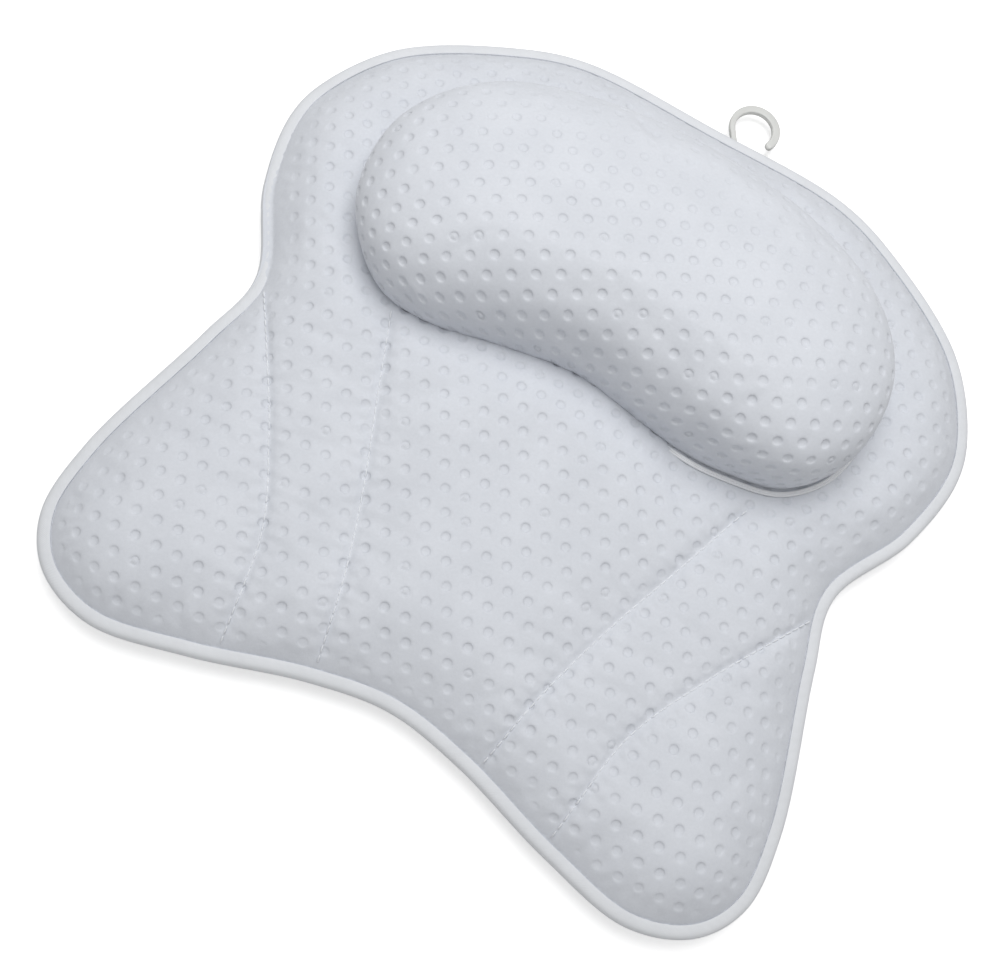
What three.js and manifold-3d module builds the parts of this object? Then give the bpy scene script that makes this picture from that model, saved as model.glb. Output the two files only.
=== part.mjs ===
// A butterfly-shaped bath pillow: a quilted air-mesh pad with a raised head cushion, a bound edge,
// a hanging hook in a tape loop, and suction cups that turn in eyelets in its back cover.
// Millimetres. The pillow lies on its cups, +Z out of its face and +Y towards its top edge.
import * as THREE from 'three';
import { mergeVertices } from 'three/addons/utils/BufferGeometryUtils.js';
import Module from 'manifold-3d';

// The pad and its covers
const pillowWidth = 420;
const pillowLength = 414;
const frontCoverThickness = 2.5;
const backCoverThickness = 2.5;
const crownRise = 17; // from the bound edge up to the top of a panel
const edgeRoll = 42; // width over which the face rounds down to its edge
const fillingInset = 11; // from the outline in to the filling
const fitGap = 0.3; // between pieces that touch

// The channels sewn down the face
const channelDepth = 6;
const channelHalfWidth = 9;
const channelAside = 5; // how far right of the middle the sewing lies
const channelStep = 13;
const threadRadius = 0.6;

// The tape bound round the edge
const bindingTapeThickness = 1.1;
const bindingReach = 7; // from the outline in over the covers
const bindingBulgeShare = 0.3; // how far in its round outer edge reaches

// The head cushion
const cushionWidth = 292;
const cushionDepth = 150;
const cushionHeight = 58;
const cushionTopInset = 44; // from the pad's top edge down to the cushion
const cushionCoverThickness = 2.5;
const weltRadius = 1.4;
const seatDrop = 1.5; // the flat under the cushion, below the crown
const seatMargin = 4;
const seatBlend = 12; // from the flat to the crown round it

// The suction cups
const cupRadius = 22;
const cupHeight = 10; // from the lip up to the neck
const cupLipWidth = 3;
const cupLipThickness = 1;
const cupHollowDepth = 4.5;
const cupNeckRadius = 4;
const cupHeadRadius = 6.8;
const cupHeadThickness = 2;
const cupHeadEdgeShare = 0.4; // how thick the head is at its rim

// The eyelets that hold the cups
const eyeletFlangeRadius = 9.5;
const eyeletFlangeThickness = 1.3;
const eyeletWall = 1.5;
const washerThickness = 1.3;

// The hook and its tape loop
const hookRingRadius = 13.4; // to the middle of the strip
const hookStripWidth = 2.8;
const hookTipWidth = 3.8;
const hookDepth = 4;
const hookOffset = 20; // to the right of the pillow's middle
const hookBarInset = 12; // from the pad's top edge down to the bar
const hookStemRise = 30.5; // from the bar up to the middle of the ring
const hookEyeLength = 5.6; // from the bar up to the eye's other side
const hookBarRadius = 1.6;
const hookCornerShare = 0.9; // how far the eye's corners are cut, of the bar's radius
const hookFootDegrees = 212; // where the stem runs into the ring
const hookTipDegrees = -33;
const hookTipShare = 0.6; // how much of the strip is left at its rounded tip
const tapeWidth = 10;
const tapeThickness = 0.9;
const tapeTail = 22;

// Counts
const outlineCount = 96;
const seatCount = 72;
const cushionCount = 60;
const roundCount = 16;
const threadSides = 5;
const weltSides = 5;
const hookSides = 8;
const hookSteps = 26;

// Points of half the pad's outline, from top to bottom: shares of the half width and half length
const outlineShares = [
  [0, 1], [0.405, 0.99], [0.61, 0.91], [0.86, 0.735], [0.975, 0.54], [1, 0.4], [0.95, 0.18],
  [0.832, -0.055], [0.862, -0.25], [0.945, -0.64], [0.94, -0.83], [0.86, -0.945], [0.705, -1],
  [0.47, -0.955], [0.2, -0.872], [0, -0.84],
];

// Points of half the cushion's base outline: shares of its half width and half depth
const cushionShares = [
  [0, 1], [0.476, 0.896], [0.735, 0.69], [0.9, 0.39], [0.986, 0.05], [1, -0.32], [0.952, -0.66],
  [0.816, -0.92], [0.578, -0.987], [0.272, -0.87], [0, -0.79],
];

// The channels, from the top end down: shares of the half width and half length
const channelShares = {
  outer: [[0.82, -0.07], [0.71, -0.23], [0.59, -0.42], [0.48, -0.64], [0.435, -0.91]],
  inner: [[0.5, 0.01], [0.42, -0.2], [0.33, -0.43], [0.26, -0.65], [0.22, -0.84]],
};

// The cushion's section: shares of its half depth out from the ridge, and of its height
const cushionSectionShares = [
  [1.035, 0.24], [1.02, 0.42], [0.94, 0.64], [0.79, 0.81], [0.58, 0.93], [0.34, 0.985], [0.12, 1],
];
const ridgeLengthShare = 0.5; // the ridge's length, of the cushion's width
const ridgeArchShares = [0.1, -0.15]; // the ridge's middle, and how far its ends turn down
const ridgeDroopShare = 0.1; // how much lower the cushion's ends are

// The outside of a cup above its lip: shares of its radius and height
const cupWaistShares = [0.62, 0.6];
const cupShoulderShare = 0.4;
// The hollow's roof half-way out: shares of the cup's radius and the hollow's depth
const cupRoofShares = [0.5, 0.75];

// The cups: shares of the half width and half length
const cupShares = {
  suction_cup_top_left: [-0.36, 0.78],
  suction_cup_top_right: [0.36, 0.78],
  suction_cup_side_left: [-0.76, 0.37],
  suction_cup_side_right: [0.76, 0.37],
  suction_cup_centre: [0, -0.16],
  suction_cup_wing_left: [-0.71, -0.76],
  suction_cup_wing_right: [0.71, -0.76],
};

// The spacing of the points that the face has: shares of the distances that each follows
const edgeClearShare = 0.55;
const shoulderSpacingShare = 0.7;
const gridShare = 2.3;
const gridClearShare = 0.56;

// Heights, from the cups' lips up
const flangeBottom = cupHeight + fitGap;
const backBottom = flangeBottom + eyeletFlangeThickness + fitGap;
const backTop = backBottom + backCoverThickness;
const washerBottom = backTop + fitGap;
const barrelTop = washerBottom + washerThickness + fitGap;
const headBottom = barrelTop + fitGap;
const headTop = headBottom + cupHeadThickness;
const frontRimBottom = backTop + fitGap;
const frontRimTop = frontRimBottom + frontCoverThickness;
const seatHeight = frontRimTop + crownRise - seatDrop;
const bindingBottom = backBottom - fitGap - bindingTapeThickness;
const bindingTop = frontRimTop + fitGap + bindingTapeThickness;
const hookMiddle = bindingBottom - fitGap - hookDepth / 2;

// Radii about a cup's axis
const boreRadius = cupNeckRadius + fitGap;
const barrelRadius = boreRadius + eyeletWall;
const coverHoleRadius = barrelRadius + fitGap;
const pocketRadius = eyeletFlangeRadius + fitGap;

// Places on the pad, seen from above
const halfWidth = pillowWidth / 2;
const halfLength = pillowLength / 2;
const cushionRaise = halfLength - cushionTopInset - cushionDepth / 2;
const hookReach = hookStemRise - hookBarInset + hookRingRadius + hookTipWidth / 2;
const coverInset = bindingTapeThickness + fitGap;
const flatInset = bindingReach + fitGap;

const meshAir = { color: 0xe4e7ed, roughness: 0.92, metalness: 0 };
const finishes = {
  frontMesh: new THREE.MeshStandardMaterial(meshAir),
  backMesh: new THREE.MeshStandardMaterial({ ...meshAir, color: 0xdfe2e6 }),
  fibre: new THREE.MeshStandardMaterial({ color: 0xf2f2ef, roughness: 1, metalness: 0 }),
  tape: new THREE.MeshStandardMaterial({ color: 0xe9e8e4, roughness: 0.85, metalness: 0 }),
  thread: new THREE.MeshStandardMaterial({ color: 0xf4f4f4, roughness: 0.7, metalness: 0 }),
  plastic: new THREE.MeshStandardMaterial({ color: 0xe6e6e0, roughness: 0.4, metalness: 0 }),
  softPlastic: new THREE.MeshStandardMaterial({ color: 0xdce6ea, roughness: 0.15, metalness: 0 }),
};

const pad = new THREE.Group();
const pillow = new THREE.Group();
pillow.add(pad);
pad.position.y = -hookReach / 2;

function addPiece(name, geometry, finish) {
  const mesh = new THREE.Mesh(geometry, finish);
  mesh.name = name;
  pad.add(mesh);
}

// A closed loop through half an outline and its mirror image, counterclockwise
function mirroredLoop(shares, halfX, halfY, count, raise) {
  const right = shares.map(([x, y]) => new THREE.Vector3(x * halfX, y * halfY + raise, 0));
  const left = right.slice(1, -1).reverse().map((p) => new THREE.Vector3(-p.x, p.y, 0));
  const curve = new THREE.CatmullRomCurve3([...right, ...left].reverse(), true, 'centripetal');
  return curve.getSpacedPoints(count).slice(0, -1).map((p) => new THREE.Vector2(p.x, p.y));
}

// The direction to the left of a path at each of its points
function leftNormals(path, closed) {
  const last = path.length - 1;
  return path.map((p, i) => {
    const before = closed ? path.at(i - 1) : path[Math.max(i - 1, 0)];
    const after = closed ? path[(i + 1) % path.length] : path[Math.min(i + 1, last)];
    return new THREE.Vector2(before.y - after.y, after.x - before.x).normalize();
  });
}

function insetLoop(loop, distance) {
  const normals = leftNormals(loop, true);
  return loop.map((p, i) => p.clone().addScaledVector(normals[i], distance));
}

// The nearest place on a line of points, and the index of its nearest point
function nearestOn(path, p, closed) {
  const best = { distance: Infinity };
  const count = closed ? path.length : path.length - 1;
  for (let i = 0; i < count; i += 1) {
    const a = path[i];
    const along = path[(i + 1) % path.length].clone().sub(a);
    const share = THREE.MathUtils.clamp(p.clone().sub(a).dot(along) / along.lengthSq(), 0, 1);
    const place = a.clone().addScaledVector(along, share);
    if (place.distanceTo(p) < best.distance) {
      best.distance = place.distanceTo(p);
      best.place = place;
      best.index = (share < 0.5 ? i : i + 1) % path.length;
    }
  }
  return best;
}

function isInside(loop, p) {
  let inside = false;
  loop.forEach((a, i) => {
    const b = loop.at(i - 1);
    const crosses = a.y > p.y !== b.y > p.y;
    if (crosses && p.x < a.x + ((b.x - a.x) * (p.y - a.y)) / (b.y - a.y)) inside = !inside;
  });
  return inside;
}

const outline = mirroredLoop(outlineShares, halfWidth, halfLength, outlineCount, 0);
const coverEdge = insetLoop(outline, coverInset);
const flatEdge = insetLoop(outline, flatInset);
const fillingEdge = insetLoop(outline, fillingInset);
const cushionBase = mirroredLoop(
  cushionShares, cushionWidth / 2, cushionDepth / 2, cushionCount, cushionRaise,
);
const seatEdge = insetLoop(
  mirroredLoop(cushionShares, cushionWidth / 2, cushionDepth / 2, seatCount, cushionRaise),
  -seatMargin,
);

// A channel's middle line: its ends join the edges that it runs between, which take in its end points
function channelLine(shares, side, upperEdge) {
  const points = shares.map(([x, y]) => (
    new THREE.Vector2(side * x * halfWidth + channelAside, y * halfLength)
  ));
  [[0, upperEdge], [points.length - 1, fillingEdge]].forEach(([end, edge]) => {
    const { place, index } = nearestOn(edge, points[end], true);
    edge[index] = place;
    points[end] = place;
  });
  const curve = new THREE.SplineCurve(points);
  return curve.getSpacedPoints(Math.round(curve.getLength() / channelStep));
}

const channels = {
  outer_left: channelLine(channelShares.outer, -1, fillingEdge),
  outer_right: channelLine(channelShares.outer, 1, fillingEdge),
  inner_left: channelLine(channelShares.inner, -1, seatEdge),
  inner_right: channelLine(channelShares.inner, 1, seatEdge),
};

// The height of the front cover's face above a point of the pad
function faceHeight(p) {
  const inset = nearestOn(outline, p, true).distance;
  const u = THREE.MathUtils.clamp((inset - flatInset) / edgeRoll, 0, 1);
  const rise = crownRise * Math.sqrt(1 - (1 - u) ** 2);
  const away = Math.min(...Object.values(channels).map((line) => nearestOn(line, p).distance));
  const crease = 1 - THREE.MathUtils.smoothstep(away, 0, channelHalfWidth);
  const face = frontRimTop + rise * (1 - (crease * channelDepth) / crownRise);
  if (isInside(seatEdge, p)) return seatHeight;
  const fromSeat = nearestOn(seatEdge, p, true).distance;
  const blend = Math.min(seatBlend, fromSeat + Math.max(inset - flatInset, 0));
  return THREE.MathUtils.lerp(seatHeight, face, THREE.MathUtils.smoothstep(fromSeat, 0, blend));
}

// Plan points inside the filling's edge: that edge, the seat and the channels, then an even grid
function innerPoints() {
  const points = [...fillingEdge];
  const edgeSteps = fillingEdge.map((p, i) => p.distanceTo(fillingEdge.at(i - 1)));
  const clearOfEdge = Math.max(...edgeSteps) * edgeClearShare;
  const place = (list, spacing) => {
    list.forEach((p) => {
      const free = isInside(fillingEdge, p) && nearestOn(fillingEdge, p, true).distance > clearOfEdge;
      if (free && points.every((q) => q.distanceTo(p) >= spacing)) points.push(p);
    });
  };
  const lines = Object.values(channels);
  place(seatEdge, fitGap);
  lines.forEach((line) => place(line.slice(1, -1), fitGap));
  lines.forEach((line) => {
    const normals = leftNormals(line, false);
    [-1, 1].forEach((side) => {
      const row = line.map((p, i) => p.clone().addScaledVector(normals[i], side * channelHalfWidth));
      place(row.slice(1, -1), channelHalfWidth * shoulderSpacingShare);
    });
  });
  const gridStep = channelStep * gridShare;
  const rows = Math.ceil(pillowLength / gridStep);
  const columns = Math.ceil(pillowWidth / gridStep / 2);
  for (let row = 0; row <= rows; row += 1) {
    for (let column = -columns; column <= columns; column += 1) {
      const x = (column + (row % 2) / 2) * gridStep;
      const y = (row / rows - 1 / 2) * pillowLength;
      place([new THREE.Vector2(x, y)], gridStep * gridClearShare);
    }
  }
  return points;
}

// Triangles between two loops of as many points, the second inside the first
function strip(outer, inner, count) {
  return Array.from({ length: count }, (v, i) => {
    const j = (i + 1) % count;
    return [[outer + i, outer + j, inner + j], [outer + i, inner + j, inner + i]];
  }).flat();
}

// Delaunay triangles: each new point clears the triangles whose circle holds it, and fans the hole
function delaunay(points) {
  const far = pillowWidth * pillowLength;
  const corners = [new THREE.Vector2(-far, -far), new THREE.Vector2(far, -far), new THREE.Vector2(0, far)];
  const all = [...points, ...corners];
  const triangle = (a, b, c) => {
    const ab = all[b].clone().sub(all[a]);
    const ac = all[c].clone().sub(all[a]);
    const area = 2 * ab.cross(ac);
    const x = (ac.y * ab.lengthSq() - ab.y * ac.lengthSq()) / area;
    const y = (ab.x * ac.lengthSq() - ac.x * ab.lengthSq()) / area;
    return { corners: [a, b, c], x: all[a].x + x, y: all[a].y + y, reach: Math.hypot(x, y) };
  };
  let triangles = [triangle(points.length, points.length + 1, points.length + 2)];
  points.forEach((p, index) => {
    const edges = new Map();
    triangles = triangles.filter((t) => {
      if (Math.hypot(p.x - t.x, p.y - t.y) >= t.reach) return true;
      t.corners.forEach((a, i) => {
        const b = t.corners[(i + 1) % 3];
        if (!edges.delete(`${b} ${a}`)) edges.set(`${a} ${b}`, [a, b]);
      });
      return false;
    });
    edges.forEach(([a, b]) => triangles.push(triangle(a, b, index)));
  });
  return triangles.map((t) => t.corners).filter((t) => Math.max(...t) < points.length);
}

function meshOf(vertices, triangles) {
  const geometry = new THREE.BufferGeometry();
  const positions = vertices.flatMap((v) => [v.x, v.y, v.z]);
  geometry.setAttribute('position', new THREE.Float32BufferAttribute(positions, 3));
  geometry.setIndex(triangles.flat());
  return geometry;
}

// A closed solid over part of a plan, from its top down to a second height or to a flat underside
function planSolid(points, triangles, top, bottom) {
  const count = points.length;
  const used = [...new Set(triangles.flat())];
  const vertices = points.map((p) => new THREE.Vector3(p.x, p.y, 0));
  const lower = vertices.map((v) => v.clone());
  used.forEach((i) => {
    vertices[i].z = top(points[i]);
    lower[i].z = bottom(points[i]);
  });
  const borders = new Map();
  triangles.forEach((t) => {
    t.forEach((a, i) => {
      const b = t[(i + 1) % 3];
      if (!borders.delete(`${b} ${a}`)) borders.set(`${a} ${b}`, [a, b]);
    });
  });
  const walls = [];
  borders.forEach(([a, b]) => walls.push([a, a + count, b + count], [a, b + count, b]));
  const underside = triangles.map(([a, b, c]) => [c + count, b + count, a + count]);
  const solid = meshOf([...vertices, ...lower], [...triangles, ...walls, ...underside]);
  return mergeVertices(solid.toNonIndexed());
}

// A closed solid through a row of rings, counterclockwise as seen from the row's end
function loft(rings, capTriangles) {
  const size = rings[0].length;
  const triangles = [];
  const steps = capTriangles ? rings.length - 1 : rings.length;
  for (let k = 0; k < steps; k += 1) {
    const here = k * size;
    const next = ((k + 1) % rings.length) * size;
    for (let i = 0; i < size; i += 1) {
      const j = (i + 1) % size;
      triangles.push([here + i, here + j, next + j], [here + i, next + j, next + i]);
    }
  }
  const last = (rings.length - 1) * size;
  (capTriangles ?? []).forEach(([a, b, c]) => {
    triangles.push([c, b, a], [last + a, last + b, last + c]);
  });
  return meshOf(rings.flat(), triangles);
}

// A section carried along a path; the section's first value runs to the path's left, its second up
function sweep(path, sectionAt, closed) {
  const normals = leftNormals(path, closed);
  const rings = path.map((p, i) => sectionAt(i).map(([aside, up]) => (
    new THREE.Vector3(p.x + normals[i].x * aside, p.y + normals[i].y * aside, p.z + up)
  )));
  const fan = rings[0].slice(2).map((v, i) => [0, i + 1, i + 2]);
  return loft(rings, closed ? null : fan);
}

// An oval section: half its width across, half its depth up
function oval(across, up, sides) {
  return Array.from({ length: sides }, (v, i) => {
    const angle = (2 * Math.PI * (i + 1 / 2)) / sides;
    return [across * Math.cos(angle), up * Math.sin(angle)];
  });
}

function circle(x, y, radius) {
  return Array.from({ length: roundCount }, (v, i) => {
    const angle = (2 * Math.PI * i) / roundCount;
    return new THREE.Vector2(x + radius * Math.cos(angle), y + radius * Math.sin(angle));
  });
}

function turned(profile) {
  const points = profile.map(([radius, height]) => new THREE.Vector2(radius, height));
  return new THREE.LatheGeometry(points, roundCount).rotateX(Math.PI / 2);
}

function extruded(loop, holes, depth) {
  const shape = new THREE.Shape(loop);
  shape.holes = holes.map((hole) => new THREE.Path(hole));
  return new THREE.ExtrudeGeometry(shape, { depth, bevelEnabled: false });
}

const wasm = await Module();
wasm.setup();

function toSolid(geometry) {
  const bare = geometry.clone();
  bare.deleteAttribute('normal');
  bare.deleteAttribute('uv');
  const merged = mergeVertices(bare);
  return new wasm.Manifold(new wasm.Mesh({
    numProp: 3,
    vertProperties: new Float32Array(merged.attributes.position.array),
    triVerts: new Uint32Array(merged.index.array),
  }));
}

function fromSolid(solid) {
  const mesh = solid.getMesh();
  const geometry = new THREE.BufferGeometry();
  geometry.setAttribute('position', new THREE.BufferAttribute(mesh.vertProperties, 3));
  geometry.setIndex(new THREE.BufferAttribute(mesh.triVerts, 1));
  return geometry;
}

const cups = Object.entries(cupShares).map(([name, [x, y]]) => (
  { name, x: x * halfWidth, y: y * halfLength }
));

function addCovers() {
  const inner = innerPoints();
  const points = [...coverEdge, ...flatEdge, ...inner];
  const heights = new Map(points.map((p) => [p, faceHeight(p)]));
  const edgePoints = 2 * outlineCount;
  const filled = delaunay(inner).filter((t) => {
    const middle = t.reduce((sum, i) => sum.add(inner[i]), new THREE.Vector2()).divideScalar(3);
    return isInside(fillingEdge, middle);
  }).map((t) => t.map((i) => i + edgePoints));
  const rim = [
    ...strip(0, outlineCount, outlineCount), ...strip(outlineCount, edgePoints, outlineCount),
  ];
  const top = (p) => heights.get(p);
  const underside = (p) => heights.get(p) - frontCoverThickness;
  addPiece('front_cover', planSolid(points, [...rim, ...filled], top, underside), finishes.frontMesh);

  const filling = planSolid(points, filled, (p) => underside(p) - fitGap, () => frontRimBottom);
  const pocketDepth = headTop + fitGap - backTop;
  const pocketed = cups.reduce((solid, { x, y }) => {
    const pocket = new THREE.CylinderGeometry(pocketRadius, pocketRadius, pocketDepth, roundCount);
    pocket.rotateX(Math.PI / 2).translate(x, y, backTop + pocketDepth / 2);
    return solid.subtract(toSolid(pocket));
  }, toSolid(filling));
  addPiece('pad_filling', fromSolid(pocketed), finishes.fibre);

  const holes = cups.map(({ x, y }) => circle(x, y, coverHoleRadius));
  const back = extruded(coverEdge, holes, backCoverThickness).translate(0, 0, backBottom);
  addPiece('back_cover', back, finishes.backMesh);
  return inner;
}

function addBinding() {
  const bulge = bindingReach * bindingBulgeShare;
  const half = (bindingTop - bindingBottom) / 2;
  const section = [
    [bindingReach, half], [bulge, half], [0, half / 2], [0, -half / 2], [bulge, -half],
    [bindingReach, -half], [bindingReach, bindingTapeThickness - half],
    [bindingTapeThickness, bindingTapeThickness - half],
    [bindingTapeThickness, half - bindingTapeThickness],
    [bindingReach, half - bindingTapeThickness],
  ];
  const path = outline.map((p) => new THREE.Vector3(p.x, p.y, bindingBottom + half));
  addPiece('edge_binding', sweep(path, () => section, true), finishes.tape);
}

// Threads along the channels, over the points that the face has there
function addQuilting(facePoints) {
  Object.entries(channels).forEach(([name, line]) => {
    const lift = fitGap + threadRadius;
    const stitched = line.slice(1, -1).filter((p) => facePoints.includes(p));
    const path = stitched.map((p) => new THREE.Vector3(p.x, p.y, faceHeight(p) + lift));
    const thread = sweep(path, () => oval(threadRadius, threadRadius, threadSides), false);
    addPiece(`quilting_seam_${name}`, thread, finishes.thread);
  });
}

// The cushion's section moved in by a wall, as [distance out from the ridge, height above the base]
function cushionSection(wall) {
  const reach = cushionDepth / 2;
  const foot = 2 * weltRadius + 2 * fitGap;
  const outer = [
    [reach, 0], [reach, foot], ...cushionSectionShares.map(([s, z]) => [s * reach, z * cushionHeight]),
  ];
  return outer.map(([r, z], i) => {
    const before = outer[Math.max(i - 1, 0)];
    const after = outer[Math.min(i + 1, outer.length - 1)];
    const along = new THREE.Vector2(after[0] - before[0], after[1] - before[1]).normalize();
    return [r - along.y * wall, Math.max(z + along.x * wall, 0)];
  });
}

// The cushion's outline drawn in towards its ridge, at a height
function cushionRing([r, z]) {
  const share = (2 * r) / cushionDepth;
  return cushionBase.map((p) => {
    const x = p.x * ridgeLengthShare;
    const t = (2 * p.x) / cushionWidth;
    const arch = ridgeArchShares[0] + ridgeArchShares[1] * t * t;
    const ridge = new THREE.Vector2(x, cushionRaise + (arch * cushionDepth) / 2);
    const place = ridge.clone().lerp(p, share);
    const end = (2 * place.x) / cushionWidth;
    const height = z * (1 - ridgeDroopShare * end * end);
    return new THREE.Vector3(place.x, place.y, seatHeight + fitGap + height);
  });
}

function addCushion() {
  const outer = cushionSection(0).map(cushionRing);
  const crown = outer.at(-1).map((p) => new THREE.Vector2(p.x, p.y));
  const caps = THREE.ShapeUtils.triangulateShape(crown, []);
  const inner = cushionSection(cushionCoverThickness).map(cushionRing);
  const filling = cushionSection(cushionCoverThickness + fitGap).map(cushionRing);
  addPiece('cushion_cover', loft([...inner.reverse(), ...outer], caps), finishes.frontMesh);
  addPiece('cushion_filling', loft(filling, caps), finishes.fibre);

  const weltLine = insetLoop(cushionBase, -fitGap - weltRadius);
  const path = weltLine.map((p) => new THREE.Vector3(p.x, p.y, seatHeight + fitGap + weltRadius));
  const welt = sweep(path, () => oval(weltRadius, weltRadius, weltSides), true);
  addPiece('cushion_welt', welt, finishes.tape);
}

function addCups() {
  const cupProfile = [
    [0, cupHollowDepth],
    [cupRadius * cupRoofShares[0], cupHollowDepth * cupRoofShares[1]],
    [cupRadius - cupLipWidth, 0],
    [cupRadius, 0],
    [cupRadius, cupLipThickness],
    [cupRadius * cupWaistShares[0], cupHeight * cupWaistShares[1]],
    [cupRadius * cupShoulderShare, cupHeight],
    [cupNeckRadius, cupHeight],
    [cupNeckRadius, headBottom],
    [cupHeadRadius, headBottom],
    [cupHeadRadius, headBottom + cupHeadThickness * cupHeadEdgeShare],
    [cupNeckRadius, headTop],
    [0, headTop],
  ];
  const flangeTop = flangeBottom + eyeletFlangeThickness;
  const eyeletProfile = [
    [boreRadius, flangeBottom], [eyeletFlangeRadius, flangeBottom], [eyeletFlangeRadius, flangeTop],
    [barrelRadius, flangeTop], [barrelRadius, barrelTop], [boreRadius, barrelTop],
    [boreRadius, flangeBottom],
  ];
  const washerTop = washerBottom + washerThickness;
  const washerProfile = [
    [coverHoleRadius, washerBottom], [eyeletFlangeRadius, washerBottom],
    [eyeletFlangeRadius, washerTop], [coverHoleRadius, washerTop], [coverHoleRadius, washerBottom],
  ];
  cups.forEach(({ name, x, y }) => {
    const spot = name.replace('suction_cup_', '');
    addPiece(name, turned(cupProfile).translate(x, y, 0), finishes.softPlastic);
    addPiece(`eyelet_${spot}`, turned(eyeletProfile).translate(x, y, 0), finishes.plastic);
    addPiece(`eyelet_washer_${spot}`, turned(washerProfile).translate(x, y, 0), finishes.plastic);
  });
}

// The hook: a closed eye round the tape, a slanting stem, and a ring that is open at its foot
function addHook() {
  const barY = halfLength - hookBarInset;
  const armX = tapeWidth / 2 + fitGap * 2 + hookBarRadius;
  const corners = [[-1, 0], [1, 0], [1, 1], [-1, 1]];
  const eyePath = corners.flatMap(([side, far]) => {
    const turn = hookBarRadius * hookCornerShare;
    const at = new THREE.Vector3(hookOffset + side * armX, barY + far * hookEyeLength, hookMiddle);
    const inward = new THREE.Vector3(-side * turn, 0, 0);
    const inner = new THREE.Vector3(0, (far ? -1 : 1) * turn, 0);
    const first = side * (far ? -1 : 1) > 0 ? inward : inner;
    const second = first === inward ? inner : inward;
    return [at.clone().add(first), at.clone().add(second)];
  });
  const barSection = oval(hookBarRadius, hookBarRadius, hookSides);
  const eye = sweep(eyePath, () => barSection, true);

  const middle = new THREE.Vector3(hookOffset, barY + hookStemRise, hookMiddle);
  const footAngle = THREE.MathUtils.degToRad(hookFootDegrees);
  const tipAngle = THREE.MathUtils.degToRad(hookTipDegrees);
  const ring = Array.from({ length: hookSteps + 1 }, (v, i) => {
    const angle = THREE.MathUtils.lerp(footAngle, tipAngle, i / hookSteps);
    const out = new THREE.Vector3(Math.cos(angle), Math.sin(angle), 0);
    return middle.clone().addScaledVector(out, hookRingRadius);
  });
  const foot = new THREE.Vector3(hookOffset, barY + hookEyeLength, hookMiddle);
  const stemPath = [foot, ...ring];
  const tip = stemPath.length - 1;
  const stem = sweep(stemPath, (i) => {
    const width = THREE.MathUtils.lerp(hookStripWidth, hookTipWidth, i / tip);
    const rounding = i === tip ? hookTipShare : 1;
    return oval((width / 2) * rounding, (hookDepth / 2) * rounding, hookSides);
  }, false);
  addPiece('hanging_hook', fromSolid(toSolid(eye).add(toSolid(stem))), finishes.plastic);
}

// The tape loop: round the hook's bar, with both ends sewn flat to the back cover
function addHookTape() {
  const tailTop = backBottom - fitGap - hookMiddle;
  const tailBottom = tailTop - 2 * tapeThickness;
  const bore = hookBarRadius + fitGap;
  const outer = bore + tapeThickness;
  const start = Math.PI - Math.asin(Math.min(tailBottom / outer, 1));
  const wrap = Array.from({ length: roundCount + 1 }, (v, i) => {
    const angle = start + (i / roundCount) * (2 * Math.PI + Math.PI / 2 - start);
    return new THREE.Vector2(outer * Math.cos(angle), outer * Math.sin(angle));
  });
  const loop = [
    new THREE.Vector2(-tapeTail, tailBottom), ...wrap, new THREE.Vector2(0, tailTop),
    new THREE.Vector2(-tapeTail, tailTop),
  ];
  const tape = extruded(loop, [circle(0, 0, bore)], tapeWidth);
  tape.rotateX(Math.PI / 2).rotateZ(Math.PI / 2);
  tape.translate(hookOffset - tapeWidth / 2, halfLength - hookBarInset, hookMiddle);
  addPiece('hook_tape', tape, finishes.tape);
}

const facePoints = addCovers();
addBinding();
addQuilting(facePoints);
addCushion();
addCups();
addHook();
addHookTape();

export default pillow;
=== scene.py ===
# A butterfly-shaped bath pillow: dimpled air mesh over soft filling, a head cushion, a bound edge,
# a hanging hook, and suction cups behind. Metres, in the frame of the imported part.
import bpy
import numpy as np
from math import cos, pi, radians, sin
from mathutils import Matrix, Vector


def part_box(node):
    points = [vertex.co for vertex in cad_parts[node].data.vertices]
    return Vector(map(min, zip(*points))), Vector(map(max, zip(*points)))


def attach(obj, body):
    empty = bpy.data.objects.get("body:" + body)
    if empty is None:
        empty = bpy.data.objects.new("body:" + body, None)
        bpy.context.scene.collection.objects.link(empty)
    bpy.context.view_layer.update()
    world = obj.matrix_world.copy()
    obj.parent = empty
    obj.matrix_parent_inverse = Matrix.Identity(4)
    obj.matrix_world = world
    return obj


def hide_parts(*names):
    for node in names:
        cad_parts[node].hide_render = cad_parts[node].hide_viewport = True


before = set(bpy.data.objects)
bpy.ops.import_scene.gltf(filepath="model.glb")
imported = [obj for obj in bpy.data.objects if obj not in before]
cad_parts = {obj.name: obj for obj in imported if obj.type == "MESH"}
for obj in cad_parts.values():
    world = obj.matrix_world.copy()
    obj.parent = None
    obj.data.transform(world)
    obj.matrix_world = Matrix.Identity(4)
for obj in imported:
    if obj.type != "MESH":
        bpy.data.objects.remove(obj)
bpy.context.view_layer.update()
bpy.ops.object.select_all(action='DESELECT')
print('frame loaded:', len(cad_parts), 'nodes')

mm = 0.001


def middleOf(part):
    low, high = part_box(part)
    return (low + high) / 2


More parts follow.
